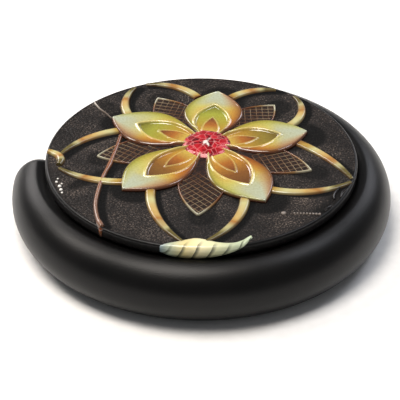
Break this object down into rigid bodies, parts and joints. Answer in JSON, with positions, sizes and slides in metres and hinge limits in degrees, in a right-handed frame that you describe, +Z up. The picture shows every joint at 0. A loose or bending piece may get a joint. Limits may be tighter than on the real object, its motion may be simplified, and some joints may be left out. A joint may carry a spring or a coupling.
{
  "type": "folding bag hook",
  "caption": "Round table-top bag hook: a decorated disc on a rubber pad, wrapped by a C-shaped soft-touch arm that swings down on a rim hinge to hold a strap.",
  "frame": {"origin": "on the table, at the centre of the closed hook's footprint, which is the disc's centre line", "axes": "+Z up through the decorated face; -Y towards the viewer of the flower; the arm's hinge is 110 degrees from +X towards +Y"},
  "size_m": [0.048, 0.048, 0.0102],
  "materials": {
    "plate_abs": "moulded black ABS",
    "embossed_skin": "embossed leather-grain skin with a glossy cut edge",
    "gold_relief": "raised gold print under clear resin",
    "lace_relief": "raised brown and gold print under clear resin",
    "petal_relief": "raised gold, amber and cream print under clear resin",
    "gem_resin": "faceted red resin",
    "copper_relief": "raised copper print under clear resin",
    "cream_relief": "raised cream print under clear resin",
    "foam_tape": "double-sided tape",
    "body_zinc": "cast zinc, black powder coat",
    "bare_steel": "plain steel",
    "magnet_nickel": "nickel-plated magnet",
    "cover_abs": "moulded black ABS, fine texture",
    "pad_rubber": "tacky black rubber",
    "blackened_steel": "steel, black oxide",
    "soft_touch": "soft-touch over-mould, matte",
    "nylon": "natural nylon"
  },
  "bodies": {
    "disc": {"face_plate": "plate_abs", "face_skin": "embossed_skin", "ribbon_loops": "gold_relief", "lace_leaves": "lace_relief", "flower_petals": "petal_relief", "flower_gem": "gem_resin", "twigs": "copper_relief", "wing_leaf": "cream_relief", "plate_tape": "foam_tape", "housing": "body_zinc", "hinge_bracket": "bare_steel", "bracket_screws": "bare_steel", "catch_magnet": "magnet_nickel", "bottom_cover": "cover_abs", "cover_screws": "bare_steel", "rubber_pad": "pad_rubber"},
    "hook": {"hook_core": "blackened_steel", "hook_sleeve": "soft_touch", "hook_magnet": "magnet_nickel", "hinge_pin": "bare_steel", "hinge_washers": "nylon"}
  },
  "joints": [
    {"name": "arm_swing", "type": "hinge", "parent": "disc", "child": "hook", "pos_m": [-0.00739, 0.0203, 0.0041], "axis": [0.9397, 0.342, 0], "range_deg": [0, 60]}
  ]
}
